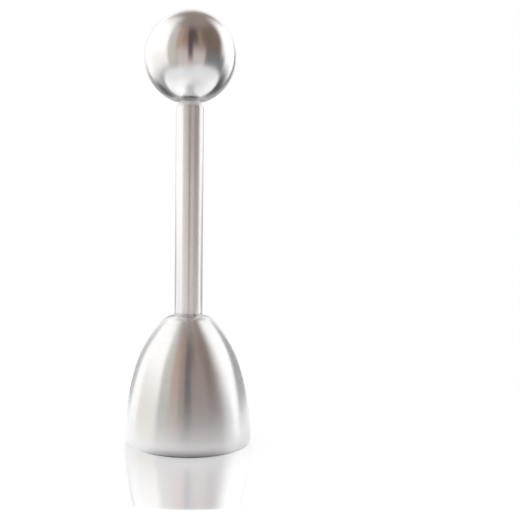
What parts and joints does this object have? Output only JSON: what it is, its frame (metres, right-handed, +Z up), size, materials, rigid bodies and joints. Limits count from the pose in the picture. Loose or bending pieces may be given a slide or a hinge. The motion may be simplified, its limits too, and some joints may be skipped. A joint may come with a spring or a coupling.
{
  "type": "egg topper",
  "caption": "Spring-loaded egg topper: an open-footed steel bell under an upright tube; a ball on a rod is pulled up and let go, and a hammer strikes the bell.",
  "frame": {"origin": "centre of the rim that the bell stands on, at table height", "axes": "+Z up along the tube's axis, from the rim to the ball; X and Y are any two directions across, since the piece is round"},
  "size_m": [0.0384, 0.0384, 0.13],
  "materials": {
    "bell_steel": "satin, brushed round the axis",
    "tube_steel": "satin, brushed round the axis",
    "ball_steel": "satin, brushed round the axis",
    "turned_steel": "fine turned",
    "rod_steel": "ground and polished",
    "fastener_steel": "plain stainless",
    "spring_wire": "drawn wire",
    "bush_acetal": "moulded"
  },
  "bodies": {
    "topper": {"bell": "bell_steel", "guide_tube": "tube_steel", "anvil_plug": "turned_steel", "bell_washer": "fastener_steel", "lock_washer": "fastener_steel", "bell_screw": "fastener_steel", "guide_bush": "bush_acetal", "bush_washer": "fastener_steel", "return_spring": "spring_wire"},
    "follower": {"spring_follower": "turned_steel"},
    "striker": {"pull_rod": "rod_steel", "hammer": "turned_steel", "jam_nut": "fastener_steel", "ball_insert": "turned_steel", "ball_shell": "ball_steel"}
  },
  "joints": [
    {"name": "ball_pull", "type": "slide", "parent": "topper", "child": "follower", "axis": [0, 0, 1], "range_m": [0, 0.018], "stiffness_N_per_m": 887, "springref_m": -0.005, "deforming": ["return_spring"]},
    {"name": "ball_spin", "type": "hinge", "parent": "follower", "child": "striker", "pos_m": [0, 0, 0.116], "axis": [0, 0, 1], "continuous": true}
  ]
}
